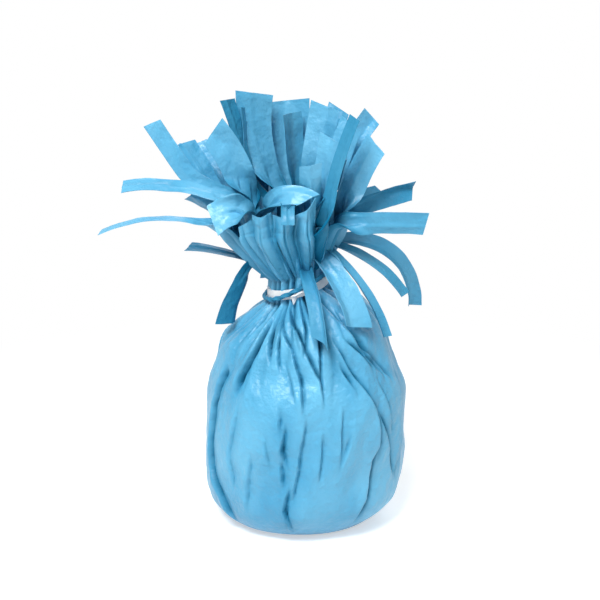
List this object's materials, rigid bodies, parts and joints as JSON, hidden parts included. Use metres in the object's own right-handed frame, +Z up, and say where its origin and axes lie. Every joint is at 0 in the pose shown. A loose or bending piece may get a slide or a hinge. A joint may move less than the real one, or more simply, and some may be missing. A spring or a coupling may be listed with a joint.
{
  "type": "balloon weight",
  "caption": "Small sand bag wrapped in gathered blue film sheets, tied at the neck, with a fringe of cut strips above; holds down balloons by a ribbon tied at its neck.",
  "frame": {"origin": "centre of the flat base on which the weight stands", "axes": "+Z up from the base through the neck, -Y the front seen in the picture, +X to its right"},
  "size_m": [0.1039, 0.085, 0.1409],
  "materials": {
    "film": "satin",
    "bag_film": "gloss",
    "sand": "matte",
    "tie_paper": "matte"
  },
  "bodies": {
    "weight": {"sand_fill": "sand", "sand_bag": "bag_film", "inner_wrap": "film", "outer_wrap": "film", "twist_tie": "tie_paper", "neck_strand": "film", "outer_strip_01": "film", "outer_strip_02": "film", "outer_strip_03": "film", "outer_strip_04": "film", "outer_strip_05": "film", "outer_strip_06": "film", "outer_strip_07": "film", "outer_strip_08": "film", "outer_strip_09": "film", "outer_strip_10": "film", "outer_strip_11": "film", "outer_strip_12": "film", "outer_strip_13": "film", "outer_strip_14": "film", "outer_strip_15": "film", "outer_strip_16": "film", "outer_strip_17": "film", "outer_strip_18": "film", "inner_strip_01": "film", "inner_strip_02": "film", "inner_strip_03": "film", "inner_strip_04": "film", "inner_strip_05": "film", "inner_strip_06": "film", "inner_strip_07": "film", "inner_strip_08": "film", "inner_strip_09": "film", "inner_strip_10": "film", "inner_strip_11": "film", "inner_strip_12": "film", "inner_strip_13": "film", "inner_strip_14": "film", "inner_strip_15": "film"},
    "hanging_strip_01": {"hanging_strip_01": "film"},
    "hanging_strip_02": {"hanging_strip_02": "film"},
    "hanging_strip_03": {"hanging_strip_03": "film"},
    "hanging_strip_04": {"hanging_strip_04": "film"},
    "hanging_strip_05": {"hanging_strip_05": "film"},
    "hanging_strip_06": {"hanging_strip_06": "film"},
    "hanging_strip_07": {"hanging_strip_07": "film"},
    "hanging_strip_08": {"hanging_strip_08": "film"},
    "hanging_strip_09": {"hanging_strip_09": "film"}
  },
  "joints": [
    {"name": "hanging_flex_01", "type": "hinge", "parent": "weight", "child": "hanging_strip_01", "pos_m": [-0.00043, -0.01117, 0.08696], "axis": [-0.9613, -0.2756, 0], "range_deg": [-5, 30], "stiffness_Nm_per_rad": 0.0003},
    {"name": "hanging_flex_02", "type": "hinge", "parent": "weight", "child": "hanging_strip_02", "pos_m": [0.00488, -0.00887, 0.08952], "axis": [-0.7071, -0.7071, 0], "range_deg": [-5, 30], "stiffness_Nm_per_rad": 0.0003},
    {"name": "hanging_flex_03", "type": "hinge", "parent": "weight", "child": "hanging_strip_03", "pos_m": [0.00781, -0.00567, 0.09133], "axis": [-0.4226, -0.9063, 0], "range_deg": [-2, 30], "stiffness_Nm_per_rad": 0.0003},
    {"name": "hanging_flex_04", "type": "hinge", "parent": "weight", "child": "hanging_strip_04", "pos_m": [0.00938, -0.00049, 0.09234], "axis": [-0.0349, -0.9994, 0], "range_deg": [-15, 25], "stiffness_Nm_per_rad": 0.0003},
    {"name": "hanging_flex_05", "type": "hinge", "parent": "weight", "child": "hanging_strip_05", "pos_m": [0.00846, 0.005, 0.09213], "axis": [0.3584, -0.9336, 0], "range_deg": [-15, 12], "stiffness_Nm_per_rad": 0.0003},
    {"name": "hanging_flex_06", "type": "hinge", "parent": "weight", "child": "hanging_strip_06", "pos_m": [0.00193, 0.01156, 0.08952], "axis": [0.8829, -0.4695, 0], "range_deg": [-5, 30], "stiffness_Nm_per_rad": 0.0003},
    {"name": "hanging_flex_07", "type": "hinge", "parent": "weight", "child": "hanging_strip_07", "pos_m": [-0.00659, 0.0115, 0.08564], "axis": [0.9703, 0.2419, 0], "range_deg": [-15, 20], "stiffness_Nm_per_rad": 0.0003},
    {"name": "hanging_flex_08", "type": "hinge", "parent": "weight", "child": "hanging_strip_08", "pos_m": [-0.01731, 0.00347, 0.08549], "axis": [0.2588, 0.9659, 0], "range_deg": [-30, 5], "stiffness_Nm_per_rad": 0.0003},
    {"name": "hanging_flex_09", "type": "hinge", "parent": "weight", "child": "hanging_strip_09", "pos_m": [-0.0184, -0.00194, 0.08619], "axis": [-0.1392, 0.9903, 0], "range_deg": [0, 25], "stiffness_Nm_per_rad": 0.0003}
  ]
}
